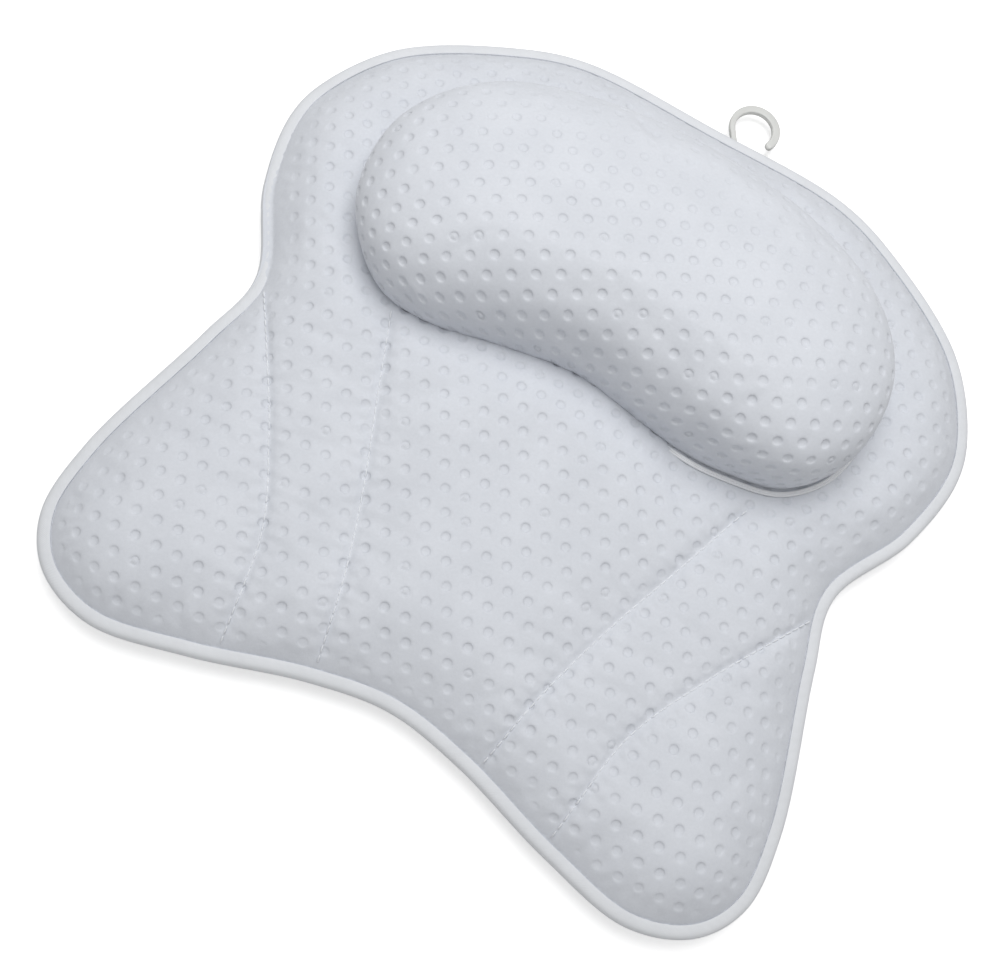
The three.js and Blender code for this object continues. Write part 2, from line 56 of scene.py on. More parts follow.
# ---- places that the pieces share, read off the frame where it has them
cupPlaces = {name.replace('suction_cup_', ''): middleOf(name)
             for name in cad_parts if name.startswith('suction_cup_')}
pad = {
    'halfWidth': 210 * mm,
    'halfLength': 207 * mm,
    'middleY': cupPlaces['centre'].y + 0.16 * 207 * mm,
    'outline': [  # one half from top to bottom, as shares of the half sizes
        (0, 1), (0.405, 0.99), (0.61, 0.91), (0.86, 0.735), (0.975, 0.54), (1, 0.4), (0.95, 0.18),
        (0.832, -0.055), (0.862, -0.25), (0.945, -0.64), (0.94, -0.83), (0.86, -0.945), (0.705, -1),
        (0.47, -0.955), (0.2, -0.872), (0, -0.84)],
    'rimBottom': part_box('front_cover')[0].z,
    'coverThickness': 2.5 * mm,
    'rimInset': 1.4 * mm,  # the covers end this far inside the binding
    'flat': 6.95 * mm,  # the bound edge
    'fold': (1.1 * mm, 0.6 * mm),  # the face's fold beside the tape: its height and its step's width
    'foot': 7.6 * mm,  # where the face starts to slope up
    'roll': 40 * mm,  # width over which it rounds up to its crown
    'fullness': 2.5,
    'rise': 17 * mm,
}
cushion = {
    'halfWidth': 146 * mm,
    'halfLength': 75 * mm,
    'height': 58 * mm,
    'middleY': pad['middleY'] + 88 * mm,
    'outline': [
        (0, 1), (0.476, 0.896), (0.735, 0.69), (0.9, 0.39), (0.986, 0.05), (1, -0.32), (0.952, -0.66),
        (0.816, -0.92), (0.578, -0.987), (0.272, -0.87), (0, -0.79)],
    'base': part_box('cushion_cover')[0].z,
    'forward': 8 * mm,  # how far the filling pushes the near side forward
    'forwardFrom': (-138 * mm, -98 * mm),
    'forwardTo': (35 * mm, 110 * mm),
}
channel = {  # as shares of the pad's half sizes
    'outer': [(0.82, -0.07), (0.71, -0.23), (0.59, -0.42), (0.48, -0.64), (0.435, -0.91)],
    'inner': [(0.5, 0.01), (0.42, -0.2), (0.33, -0.43), (0.26, -0.65), (0.22, -0.84)],
    'aside': 5 * mm,  # the sewing lies this far right of the middle
}
rimTop = pad['rimBottom'] + pad['coverThickness']
pathStep = 3 * mm


def runAlong(path):  # the length of a path up to each of its points
    return np.concatenate([[0], np.cumsum(np.linalg.norm(np.diff(path, axis=0), axis=1))])


def placesAt(path, lengths):
    run = runAlong(path)
    return np.stack([np.interp(lengths, run, column) for column in path.T], 1)


def smoothPath(points, closed, power, spacing):  # evenly spaced along a Catmull-Rom curve
    points = np.array(points, float)
    count = len(points)
    dense = []
    for i in range(count if closed else count - 1):
        around = [(i + k) % count if closed else min(max(i + k, 0), count - 1) for k in (-1, 0, 1, 2)]
        a, b, c, d = points[around]
        ab, bc, cd = (max(np.linalg.norm(q - p), 1e-9) ** power for p, q in ((a, b), (b, c), (c, d)))
        leave = ((b - a) / ab - (c - a) / (ab + bc) + (c - b) / bc) * bc
        arrive = ((c - b) / bc - (d - b) / (bc + cd) + (d - c) / cd) * bc
        for t in np.linspace(0, 1, 60, endpoint=False):
            dense.append(b + leave * t + (3 * (c - b) - 2 * leave - arrive) * t ** 2
                         + (2 * (b - c) + leave + arrive) * t ** 3)
    dense.append(points[0] if closed else points[-1])
    dense = np.array(dense)
    whole = runAlong(dense)[-1]
    steps = max(int(round(whole / spacing)), 8)
    return placesAt(dense, np.linspace(0, whole, steps + (not closed), endpoint=not closed))


def loopOf(piece, spacing):  # its outline, counterclockwise from above
    right = [(x * piece['halfWidth'], piece['middleY'] + y * piece['halfLength']) for x, y in piece['outline']]
    left = [(-x, y) for x, y in right[1:-1]][::-1]
    return smoothPath((right + left)[::-1], True, 0.5, spacing)


def leftward(ahead):  # the unit vectors to the left of these
    x, y = ahead.T / np.linalg.norm(ahead, axis=1)
    return np.stack([-y, x], 1)


def leftOf(path, closed):
    ahead = np.roll(path, -1, 0) - np.roll(path, 1, 0)
    if not closed:
        ahead[0], ahead[-1] = path[1] - path[0], path[-1] - path[-2]
    return leftward(ahead[:, :2])


def nearestOn(points, path, closed):  # distance, foot, run along the path, left normal at the foot
    start = path if closed else path[:-1]
    ahead = (np.roll(path, -1, 0) if closed else path[1:]) - start
    size = (ahead ** 2).sum(1)
    run = np.concatenate([[0], np.cumsum(np.sqrt(size))])
    results = []
    for part in np.array_split(points, len(points) // 4000 + 1):
        rel = part[:, None] - start[None]
        t = np.clip((rel * ahead).sum(2) / size, 0, 1)
        gap = ((rel - t[..., None] * ahead) ** 2).sum(2)
        best = gap.argmin(1)
        rows = np.arange(len(part))
        share = t[rows, best]
        foot = start[best] + share[:, None] * ahead[best]
        length = run[best] + share * np.sqrt(size[best])
        results.append((np.sqrt(gap[rows, best]), foot, length, leftward(ahead[best])))
    return [np.concatenate(values) for values in zip(*results)]


def insetFrom(points, loop):  # how far inside a counterclockwise loop, negative outside
    away, foot, run, side = nearestOn(points, loop, True)
    inside = ((points - foot) * side).sum(1) > 0
    direction = (points - foot) * np.where(inside, 1, -1)[:, None]
    close = away < 0.3 * mm  # too close to point anywhere
    direction[close] = side[close]
    direction /= np.linalg.norm(direction, axis=1, keepdims=True)
    return np.where(inside, away, -away), foot, run, direction


def smoothstep(low, high, x):
    t = np.clip((x - low) / (high - low), 0, 1)
    return t * t * (3 - 2 * t)


def between(rise, fall, x):  # up along one ramp and down along the next
    return smoothstep(*rise, x) * (1 - smoothstep(*fall, x))


def withHeight(plan, height):
    return np.column_stack([plan, np.broadcast_to(height, len(plan))])


def pushedForward(x, y):  # 1 along the middle of the cushion's near side, 0 round the rest
    near = smoothstep(0, 30 * mm, cushion['middleY'] - y)
    return near * between(cushion['forwardFrom'], cushion['forwardTo'], x)


def cushionEdge(spacing):  # the line along which the cushion is sewn on
    x, y = loopOf(cushion, spacing).T
    return np.stack([x, y - cushion['forward'] * pushedForward(x, y)], 1)


padLoop = loopOf(pad, pathStep)
cushionLoop = cushionEdge(pathStep)
channels = {}
for which in ('outer', 'inner'):
    for name, side in (('left', -1), ('right', 1)):
        course = [(side * x * pad['halfWidth'] + channel['aside'], pad['middleY'] + y * pad['halfLength'])
                  for x, y in channel[which]]
        channels[which + '_' + name] = smoothPath(course, False, 0, pathStep)


# ---- materials
def newMaterial(name, color, roughness, **sockets):
    material = bpy.data.materials.new(name)
    material.use_nodes = True
    shader = material.node_tree.nodes['Principled BSDF']
    shader.inputs['Base Color'].default_value = (*color, 1)
    shader.inputs['Roughness'].default_value = roughness
    for socket, value in sockets.items():
        shader.inputs[socket.replace('_', ' ')].default_value = value
    return material, material.node_tree, shader, node(material.node_tree, 'TexCoord').outputs


def node(tree, kind, inputs={}, **settings):  # its inputs are sockets or values, by name or number
    made = tree.nodes.new('ShaderNode' + kind)
    for key, value in settings.items():
        setattr(made, key, value)
    for key, value in inputs.items():
        if isinstance(value, bpy.types.NodeSocket):
            tree.links.new(value, made.inputs[key])
        else:
            made.inputs[key].default_value = value
    return made


def calc(tree, operation, *values):
    return node(tree, 'Math', dict(enumerate(values)), operation=operation).outputs['Value']


def noiseOf(tree, place, scale, detail, roughness=0.5):
    inputs = {'Vector': place['Object'], 'Scale': scale, 'Detail': detail, 'Roughness': roughness}
    return node(tree, 'TexNoise', inputs).outputs['Fac']


def bumpOf(tree, height, strength, distance, *under):  # over the bump under it, if there is one
    made = node(tree, 'Bump', {'Height': height, 'Strength': strength, 'Distance': distance})
    for normal in under:
        tree.links.new(normal, made.inputs['Normal'])
    return made.outputs['Normal']


def mottled(tree, place, scale, values):  # soft variation between two close colours
    ramp = node(tree, 'ValToRGB', {'Fac': noiseOf(tree, place, scale, 3)})
    for element, position, tone in zip(ramp.color_ramp.elements, (0.35, 0.65), ('dark', 'light')):
        element.position = position
        element.color = (*values[tone], 1)
    return ramp.outputs['Color']


def dress(tree, shader, color, normal):
    tree.links.new(color, shader.inputs['Base Color'])
    tree.links.new(normal, shader.inputs['Normal'])


airMesh = {
    'light': (0.705, 0.728, 0.775),
    'dark': (0.675, 0.698, 0.745),
    'pitch': (11.04 * mm, 10.94 * mm),  # of the dimples, along and across their rows
    'rim': (1.9 * mm, 2.75 * mm),  # the fine rim of a pit, from its middle
    'rimBump': 0.23 * mm,
    # painted shade: the base colour is this much darker on the pits' floors
    'pitTint': 0.98,
    'grainScale': 620,
    'grainTint': 0.025,
    'grainBump': 0.05 * mm,
    'knitPitch': 0.62 * mm,
    'knitBump': 0.35,
    'fuzzScale': 900,
}


def pitRim(tree, uv, values):  # 0 inside a pit and 1 outside, from the rows of dimples in the UV map
    flat = node(tree, 'SeparateXYZ', {'Vector': uv}).outputs
    pitchX, pitchY = values['pitch']
    low, high = values['rim']
    v = calc(tree, 'DIVIDE', flat['Y'], pitchY)
    row = calc(tree, 'ROUND', v)
    shift = calc(tree, 'MULTIPLY', calc(tree, 'FLOORED_MODULO', row, 2.0), 0.5)
    u = calc(tree, 'SUBTRACT', calc(tree, 'DIVIDE', flat['X'], pitchX), shift)
    dx, dy = (calc(tree, 'MULTIPLY', calc(tree, 'SUBTRACT', place, calc(tree, 'ROUND', place)), pitch)
              for place, pitch in ((u, pitchX), (v, pitchY)))
    away = calc(tree, 'SQRT', calc(tree, 'MULTIPLY_ADD', dx, dx, calc(tree, 'MULTIPLY', dy, dy)))
    rim = node(tree, 'MapRange', {'Value': away, 'From Min': low, 'From Max': high}, interpolation_type='SMOOTHSTEP')
    return rim.outputs['Result']


def airMeshMaterial(name, values):
    material, tree, shader, place = newMaterial(name, values['light'], 0.93, Specular_IOR_Level=0.25,
                                                Sheen_Weight=0.12, Sheen_Roughness=0.5)
    pits = node(tree, 'Attribute', attribute_name='pitFade').outputs['Fac']
    inside = calc(tree, 'MULTIPLY', calc(tree, 'SUBTRACT', 1.0, pitRim(tree, place['UV'], values)), pits)
    grain = noiseOf(tree, place, values['grainScale'], 4, 0.65)
    shade = node(tree, 'MapRange', {'Value': grain, 'From Min': 0.3, 'From Max': 0.7,
                                    'To Min': 1 - values['grainTint'], 'To Max': 1 + values['grainTint']})
    # painted shade: the base colour darkens on the pits' floors, where the dimples' own shade falls; the grain is
    # random tone
    paintedPitShade = calc(tree, 'MULTIPLY_ADD', inside, values['pitTint'] - 1, 1.0)
    grainAndPaintedShade = calc(tree, 'MULTIPLY', shade.outputs['Result'], paintedPitShade)
    color = mottled(tree, place, 38, values)
    grainedAndShadedColor = node(tree, 'VectorMath', {'Vector': color, 'Scale': grainAndPaintedShade}, operation='SCALE')
    rim = bumpOf(tree, calc(tree, 'SUBTRACT', 1.0, inside), 1.0, values['rimBump'])
    rough = bumpOf(tree, grain, 1.0, values['grainBump'], rim)
    knit = node(tree, 'TexVoronoi', {'Vector': place['UV'], 'Scale': 1 / values['knitPitch'], 'Randomness': 0.35})
    fuzz = noiseOf(tree, place, values['fuzzScale'], 2)
    loops = calc(tree, 'MULTIPLY_ADD', knit.outputs['Distance'], -1.0, fuzz)
    bump = bumpOf(tree, loops, values['knitBump'], 0.15 * mm, rough)
    dress(tree, shader, grainedAndShadedColor.outputs['Vector'], bump)
    return material


tapeFinish = {
    'light': (0.750, 0.766, 0.792),
    'dark': (0.725, 0.741, 0.767),
    'ribPitch': 0.55 * mm,
}


def tapeMaterial(name, values):  # ribs across the tape, from its own UV map in metres
    material, tree, shader, place = newMaterial(name, values['light'], 0.85, Specular_IOR_Level=0.3,
                                                Sheen_Weight=0.1, Sheen_Roughness=0.5)
    inputs = {'Vector': place['UV'], 'Scale': 1 / (pi * values['ribPitch']), 'Distortion': 0.6}
    ribs = node(tree, 'TexWave', inputs, bands_direction='DIAGONAL')
    dress(tree, shader, mottled(tree, place, 60, values), bumpOf(tree, ribs.outputs['Fac'], 0.4, 0.12 * mm))
    return material


def plasticMaterial(name, light, dark, roughness, bumpStrength, **sockets):
    material, tree, shader, place = newMaterial(name, light, roughness, **sockets)
    bump = bumpOf(tree, noiseOf(tree, place, 1500, 3), bumpStrength, 0.05 * mm)
    dress(tree, shader, mottled(tree, place, 90, {'light': light, 'dark': dark}), bump)
    return material


faceMaterial = airMeshMaterial('airMeshWhite', airMesh)
backMaterial = airMeshMaterial('airMeshBack', {**airMesh, 'light': (0.74, 0.765, 0.81), 'dark': (0.70, 0.725, 0.77)})
fibreMaterial = airMeshMaterial('fibreFill', {**airMesh, 'light': (0.86, 0.86, 0.84), 'dark': (0.80, 0.80, 0.78),
                                              'knitPitch': 2 * mm})
bindingMaterial = tapeMaterial('bindingTape', tapeFinish)
# painted light: the welt is the binding's own tape made lighter, to offset the shade the cushion casts on it
weltPaintedLightMaterial = tapeMaterial('weltTape', {**tapeFinish, 'light': (0.88, 0.89, 0.91), 'dark': (0.86, 0.87, 0.89)})
threadMaterial = plasticMaterial('sewingThread', (0.80, 0.82, 0.85), (0.75, 0.77, 0.80), 0.7, 0.5)
hookMaterial = plasticMaterial('hookPlastic', (0.67, 0.675, 0.655), (0.64, 0.645, 0.625), 0.42, 0.12)
eyeletMaterial = plasticMaterial('eyeletPlastic', (0.80, 0.80, 0.78), (0.77, 0.77, 0.75), 0.35, 0.1)
cupMaterial = plasticMaterial('cupVinyl', (0.70, 0.77, 0.79), (0.66, 0.73, 0.75), 0.14, 0.08,
                              Transmission_Weight=0.35, Subsurface_Weight=0.15, Coat_Weight=0.3)
print('materials made')


# ---- meshes
def begin(name, primitive, **settings):
    bpy.ops.object.select_all(action='DESELECT')
    primitive(**settings)
    piece = bpy.context.object
    piece.name = piece.data.name = name
    return piece


def grid(name, columns, rows):  # columns x rows points with a UV map
    return begin(name, bpy.ops.mesh.primitive_grid_add, x_subdivisions=columns - 1, y_subdivisions=rows - 1, size=1)


def readAll(items, key, width=1, kind=float):  # one value, or a few, of each item
    values = np.empty(len(items) * width, kind)
    items.foreach_get(key, values)
    return values.reshape(-1, width) if width > 1 else values


def points(piece):
    return readAll(piece.data.vertices, 'co', 3)


def normalsOf(piece):
    return readAll(piece.data.vertex_normals, 'vector', 3)


def setPoints(piece, co):
    piece.data.vertices.foreach_set('co', np.ascontiguousarray(co, dtype=np.float32).ravel())
    piece.data.update()


def setUV(piece, uv):  # uv for each vertex, in metres
    index = readAll(piece.data.loops, 'vertex_index', kind=int)
    piece.data.uv_layers.active.data.foreach_set('uv', np.ascontiguousarray(uv[index], dtype=np.float32).ravel())


def borderOf(piece):  # which vertices lie on an open edge
    mesh = piece.data
    ends = readAll(mesh.edges, 'vertices', 2, int)
    uses = np.bincount(readAll(mesh.loops, 'edge_index', kind=int), minlength=len(ends))
    mask = np.zeros(len(mesh.vertices), bool)
    mask[ends[uses == 1].ravel()] = True
    return mask


def mark(piece, name, values):  # a number for each vertex, which the subdivisions carry along
    layer = piece.data.attributes.new(name, 'FLOAT', 'POINT')
    layer.data.foreach_set('value', np.ascontiguousarray(values, dtype=np.float32))


def marked(piece, name):
    return readAll(piece.data.attributes[name].data, 'value')


def unmark(piece, *names):
    for name in names:
        piece.data.attributes.remove(piece.data.attributes[name])


def weigh(piece, name, weight, steps=60):  # a vertex group with the given weights
    group = piece.vertex_groups.new(name=name)
    levels = np.round(weight * steps).astype(int)
    for level in range(1, steps + 1):
        chosen = np.flatnonzero(levels == level)
        if len(chosen):
            group.add(chosen.tolist(), level / steps, 'REPLACE')


def moveOut(piece, distance):  # each vertex along its own normal
    setPoints(piece, points(piece) + normalsOf(piece) * distance[:, None])


def activate(piece):
    bpy.ops.object.select_all(action='DESELECT')
    piece.select_set(True)
    bpy.context.view_layer.objects.active = piece


def edit(piece, operator, whole=True, **settings):  # a mesh operator, on the whole piece or on its selection
    activate(piece)
    bpy.ops.object.mode_set(mode='EDIT')
    bpy.ops.mesh.select_mode(type='VERT')
    if whole:
        bpy.ops.mesh.select_all(action='SELECT')
    operator(**settings)
    bpy.ops.object.mode_set(mode='OBJECT')


def outward(piece):
    edit(piece, bpy.ops.mesh.remove_doubles, threshold=0.01 * mm)
    edit(piece, bpy.ops.mesh.normals_make_consistent, inside=False)


def apply(piece, kind, **settings):
    activate(piece)
    modifier = piece.modifiers.new(kind.title(), kind)
    for key, value in settings.items():
        setattr(modifier, key, value)
    bpy.ops.object.modifier_apply(modifier=modifier.name)


def copyOf(piece, name):
    copy = piece.copy()
    copy.data = piece.data.copy()
    copy.name = copy.data.name = name
    bpy.context.collection.objects.link(copy)
    return copy


def joinInto(piece, others):
    activate(piece)
    for other in others:
        other.select_set(True)
    bpy.ops.object.join()


def finishPiece(piece, material, body, part, angle=60):
    activate(piece)
    bpy.ops.object.shade_smooth_by_angle(angle=radians(angle))
    piece.data.materials.clear()
    piece.data.materials.append(material)
    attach(piece, body)
    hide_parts(part)
    print(piece.name, 'made:', len(piece.data.polygons), 'faces')


# ---- dimpled cloth: a fine grid whose rows follow the rows of dimples
def layCloth(name, cloth, shapeOf, steps, smoothing):
    stepX, stepY = cloth['pitch'][0] / steps, cloth['pitch'][1] / steps
    columns, rows = int(cloth['span'][0] / stepX) | 1, int(cloth['span'][1] / stepY) | 1
    piece = grid(name, columns, rows)
    i, j = np.meshgrid(np.arange(columns) - columns // 2, np.arange(rows) - rows // 2)
    lattice = np.stack([i.ravel() * stepX, j.ravel() * stepY], 1)
    turn = cloth['turn']
    across = np.array([[cos(turn), sin(turn)], [-sin(turn), cos(turn)]])
    place, keep, rim = shapeOf(lattice @ across + np.array(cloth['centre']))
    wide = place.reshape(rows, columns, 3)
    for k in range(smoothing):
        wide[1:-1, 1:-1] = (wide[:-2, 1:-1] + wide[2:, 1:-1] + wide[1:-1, :-2] + wide[1:-1, 2:]) / 4
    setUV(piece, lattice)
    setPoints(piece, wide.reshape(-1, 3))
    mark(piece, 'order', np.arange(len(lattice)))
    for items in (piece.data.polygons, piece.data.edges):
        items.foreach_set('select', np.zeros(len(items), bool))
    piece.data.vertices.foreach_set('select', ~keep)
    edit(piece, bpy.ops.mesh.delete, whole=False, type='VERT')
    edit(piece, bpy.ops.mesh.delete_loose)
    order = marked(piece, 'order').astype(int)
    unmark(piece, 'order')
    co = points(piece)
    border = borderOf(piece)
    co[border] = rim[order[border]]
    setPoints(piece, co)
    mark(piece, 'latticeX', lattice[order, 0])
    mark(piece, 'latticeY', lattice[order, 1])
    return piece


def fillOut(piece, held, air):  # the filling presses the cloth out between the seams that hold it
    before = points(piece)
    weigh(piece, 'held', held)
    activate(piece)
    simulation = piece.modifiers.new('Cloth', 'CLOTH')
    cloth = simulation.settings
    cloth.quality = 6
    cloth.mass = air['mass']
    cloth.tension_stiffness = cloth.compression_stiffness = air['stiffness']
    cloth.shear_stiffness = air['stiffness'] / 3
    cloth.bending_stiffness = air['bending']
    cloth.shrink_min = -air['spare']
    cloth.use_pressure = True
    cloth.uniform_pressure_force = air['pressure']
    cloth.vertex_group_mass = 'held'
    cloth.effector_weights.gravity = 0
    simulation.collision_settings.use_collision = False
    scene = bpy.context.scene
    for timed in (scene, simulation.point_cache):
        timed.frame_start, timed.frame_end = 1, air['frames']
    for frameNumber in range(1, air['frames'] + 1):
        scene.frame_set(frameNumber)
    activate(piece)
    bpy.ops.object.modifier_apply(modifier=simulation.name)
    piece.vertex_groups.clear()
    scene.frame_set(1)
    move = points(piece) - before
    setPoints(piece, before)
    outwards = (move * normalsOf(piece)).sum(1)
    move += normalsOf(piece) * np.maximum(-air['furthestIn'] - outwards, 0)[:, None]
    size = np.linalg.norm(move, axis=1)
    move *= np.minimum(1, air['furthest'] / np.maximum(size, 1e-9))[:, None]
    setPoints(piece, before + move)
    print(piece.name, 'filled out by', round(move[:, 2].mean() / mm, 2), 'mm on average, at most',
          round(size.max() / mm, 2))


def liningOf(piece, thickness):  # the inner side of a cover, a coarse copy moved inwards
    lining = copyOf(piece, piece.name + 'Lining')
    border = borderOf(lining)
    moveOut(lining, np.where(border, 0, -thickness))
    co = points(lining)
    co[border, 2] -= thickness * 0.6
    setPoints(lining, co)
    return lining


def makeFine(piece):  # 12 grid steps in one pitch of the dimples
    apply(piece, 'SUBSURF', levels=2, render_levels=2, uv_smooth='NONE', boundary_smooth='ALL')


def pressDimples(piece, cloth, fade):  # the round pits of the embossed cloth, each a little deeper or flatter
    pitchX, pitchY = cloth['pitch']
    x, y = marked(piece, 'latticeX'), marked(piece, 'latticeY')
    row = np.round(y / pitchY)
    x = x - np.mod(row, 2) * pitchX / 2
    column = np.round(x / pitchX)
    away = np.hypot(x - column * pitchX, y - row * pitchY)
    fade = fade * (0.88 + 0.16 * np.sin(column * 12.99 + row * 78.23) * np.sin(column * 4.1 - row * 2.7))
    mark(piece, 'pitFade', fade)
    weigh(piece, 'pits', (1 - smoothstep(cloth['pitFlat'], 1, away / cloth['pitRadius'])) * fade)
    apply(piece, 'DISPLACE', vertex_group='pits', strength=-cloth['pitDepth'], mid_level=0, direction='NORMAL')
    piece.vertex_groups.clear()
    unmark(piece, 'latticeX', 'latticeY')


def closeShell(piece, lining):  # joins a cover and its lining by their open edges
    edit(lining, bpy.ops.mesh.flip_normals)
    joinInto(piece, [lining])
    bpy.ops.object.mode_set(mode='EDIT')
    bpy.ops.mesh.select_mode(type='EDGE')
    bpy.ops.mesh.select_all(action='DESELECT')
    bpy.ops.mesh.select_non_manifold(extend=False, use_wire=False, use_boundary=True,
                                     use_multi_face=False, use_non_contiguous=False, use_verts=False)
    bpy.ops.mesh.bridge_edge_loops()
    bpy.ops.object.mode_set(mode='OBJECT')


# ---- the pad's face
padCloth = {
    'pitch': airMesh['pitch'],
    'turn': radians(3),
    'centre': (0, pad['middleY']),
    'span': (0.456, 0.450),
    'pitRadius': 3 * mm,
    'pitFlat': 0.5,  # share of the radius that is the pit's flat bottom
    'pitDepth': 0.92 * mm,
}
padFace = {
    'creaseDepth': 2.2 * mm,
    'creaseWidth': 13 * mm,
    'creaseSharp': 1.6,
    'seatDrop': 1.5 * mm,  # the face lies lower under the cushion
    'seatEdge': (2.5 * mm, 3.5 * mm),
    'seatBlend': 12 * mm,
    'uneven': 0.45 * mm,
    'straight': 17 * mm,  # beside the binding, the points are laid on the edge's own curve
    'snap': 0.42 * mm,
    'straightFade': (9 * mm, 16 * mm),
    'pitsFrom': (11 * mm, 15 * mm),
    'pitsGrow': (14 * mm, 36 * mm),  # the pits are shallower towards the binding
}
padSeams = {  # what the sewing draws in after the cloth is filled out
    'from': (8 * mm, 22 * mm),
    'ends': (0, 5 * mm),
    'stitchDepth': 1.5 * mm,
    'stitchWidth': 3.8 * mm,
    'pucker': 0.24 * mm,
    'puckerPitch': 7.5 * mm,
    'puckerRise': (1 * mm, 3.5 * mm),
    'puckerFall': (5 * mm, 13 * mm),
    'edgePucker': 0.2 * mm,
    'edgePuckerPitch': 11 * mm,
    'edgePuckerRise': (10 * mm, 14 * mm),
    'edgePuckerFall': (15 * mm, 28 * mm),
}
frontRoll = {  # the roll of the pad in front of the cushion's hollow side
    'height': 4.5 * mm,
    'endShare': 0.8,  # its height at the cushion's left end
    'middleX': -8 * mm,
    'reach': 66 * mm,
    'right': (38 * mm, 72 * mm),
    'steep': (-2.6 * mm, -0.1 * mm),
    'slope': (7 * mm, 85 * mm),
    'sink': 1.5 * mm,  # how deep the seam lies behind it
    'sinkFrom': (-14 * mm, -4 * mm),
}
padAir = {
    'pressure': 4.0,
    'stiffness': 15.0,
    'bending': 0.4,
    'mass': 0.1,
    'frames': 20,
    'spare': 0.009,  # share by which the cloth may grow
    'furthest': 4 * mm,
    'furthestIn': 0.5 * mm,
    'edgeHeld': (8 * mm, 13 * mm),
    'seamHeld': (1 * mm, 5 * mm),
    'cushionHeld': (5 * mm, 9 * mm),
}


def riseAt(inset):  # height of the face above its rim, before the seams are sewn
    u = np.clip((inset - pad['foot']) / pad['roll'], 0, 1)
    fold, step = pad['fold']
    crown = (pad['rise'] - fold) * (1 - (1 - u) ** pad['fullness'])
    return fold * smoothstep(pad['flat'], pad['flat'] + step, inset) + crown


def padHeight(plan, inset):
    rise = riseAt(inset)
    share = rise / pad['rise']
    away = np.minimum.reduce([nearestOn(plan, path, False)[0] for path in channels.values()])
    crease = (1 - np.clip(away / padFace['creaseWidth'], 0, 1)) ** padFace['creaseSharp']
    x, y = plan[:, 0], plan[:, 1]
    wavy = np.sin(x * 61 + 1.2) * np.sin(y * 47 + 0.4) + 0.6 * np.sin(x * 113 - y * 71 + 2.1)
    face = rise - crease * padFace['creaseDepth'] * share + padFace['uneven'] * share * wavy
    out = -insetFrom(plan, cushionLoop)[0]
    seat = pad['rise'] - padFace['seatDrop']
    seatEnd, faceStart = padFace['seatEdge']
    blend = np.minimum(padFace['seatBlend'], out + np.maximum(inset - pad['flat'], 0) + 1e-6)
    mixed = seat + (face - seat) * smoothstep(0, 1, np.clip((out - faceStart) / blend, 0, 1))
    return np.where(out < seatEnd, seat, mixed)


def frontOf(plan):  # 1 before the cushion's hollow side and left end, 0 elsewhere
    lower = smoothstep(-30 * mm, 15 * mm, cushion['middleY'] - plan[:, 1])
    return (1 - smoothstep(*frontRoll['right'], plan[:, 0])) * lower


def padShape(cloth, drop=0.0):  # the place of each point of the cloth, laid round the edge's curve
    insets = np.linspace(0, pad['foot'] + pad['roll'], 400)
    runs = runAlong(np.stack([insets, riseAt(insets)], 1))
    flatInset, foot, run, direction = insetFrom(cloth, padLoop)
    length = flatInset + runs[-1] - insets[-1]
    inset = np.where(length < runs[-1], np.interp(length, runs, insets), flatInset)
    plan = foot + direction * inset[:, None]
    place = withHeight(plan, rimTop + padHeight(plan, inset) - drop)
    return place, length > pad['rimInset'], withHeight(foot + direction * pad['rimInset'], rimTop - drop)


def straightenEdge(face):  # the fine points beside the binding lie on the edge's own curve
    co = points(face)
    inset, run = marked(face, 'inset'), marked(face, 'run')
    near = np.flatnonzero((inset < padFace['straight']) & ~borderOf(face))
    inset[near], foot, run[near], direction = insetFrom(co[near, :2], padLoop)
    own = inset[near]
    for line in (pad['flat'] + pad['fold'][1], pad['flat']):
        own = np.where(np.abs(inset[near] - line) < padFace['snap'], line, own)
    plan = foot + direction * own[:, None]
    height = rimTop + padHeight(plan, own)
    share = 1 - smoothstep(*padFace['straightFade'], own)
    co[near] = withHeight(plan, co[near, 2] + share * (height - co[near, 2]))
    setPoints(face, co)
    for name, values in (('inset', inset), ('run', run)):
        unmark(face, name)
        mark(face, name, values)


def sewPad(face):  # fine creases along the channels, folds along the binding, the front roll
    inset, run, out = (marked(face, name) for name in ('inset', 'run', 'out'))
    seams, roll = padSeams, frontRoll
    share = smoothstep(*seams['from'], inset)
    wave = np.sin(2 * pi * run / seams['edgePuckerPitch'] + 1.7 * np.sin(run * 55))
    move = seams['edgePucker'] * wave * between(seams['edgePuckerRise'], seams['edgePuckerFall'], inset)
    for spot, path in channels.items():
        aside, along = marked(face, 'aside_' + spot), marked(face, 'along_' + spot)
        away = np.abs(aside)
        within = share * smoothstep(*seams['ends'], along) * smoothstep(*seams['ends'], runAlong(path)[-1] - along)
        move -= seams['stitchDepth'] * within * np.clip(1 - away / seams['stitchWidth'], 0, 1) ** 1.3
        wave = np.sin(2 * pi * along / seams['puckerPitch'] + 1.3 * np.sin(along * 90) + np.sign(aside))
        move += seams['pucker'] * within * wave * between(seams['puckerRise'], seams['puckerFall'], away)
    moveOut(face, move)
    co = points(face)
    front = frontOf(co[:, :2])
    crown = np.exp(-((co[:, 0] - roll['middleX']) / roll['reach']) ** 4)
    height = roll['height'] * (roll['endShare'] + (1 - roll['endShare']) * crown)
    co[:, 2] += front * height * between(roll['steep'], roll['slope'], out)
    co[:, 2] -= front * roll['sink'] * between(roll['sinkFrom'], roll['steep'], out)
    setPoints(face, co)


